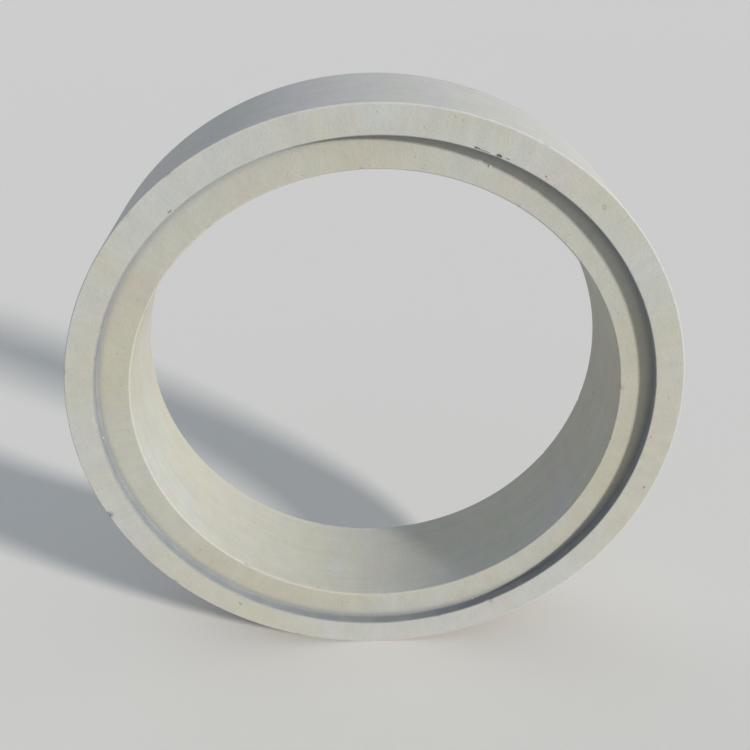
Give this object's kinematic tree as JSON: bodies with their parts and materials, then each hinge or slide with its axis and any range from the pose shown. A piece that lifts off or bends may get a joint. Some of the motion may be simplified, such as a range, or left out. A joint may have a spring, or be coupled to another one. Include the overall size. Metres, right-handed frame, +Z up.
{
  "type": "concrete sewer pipe",
  "caption": "Short round concrete drain pipe with a groove inside one end and a matching tongue on the other, lying on its side.",
  "frame": {"origin": "on the ground, under the middle of the pipe", "axes": "+Z up, bore along Y, the grooved end faces -Y"},
  "size_m": [1.25, 0.269, 1.25],
  "materials": {
    "concrete": "matt, fine-grained, cast"
  },
  "bodies": {
    "root": {"concrete_pipe": "concrete"}
  },
  "joints": []
}
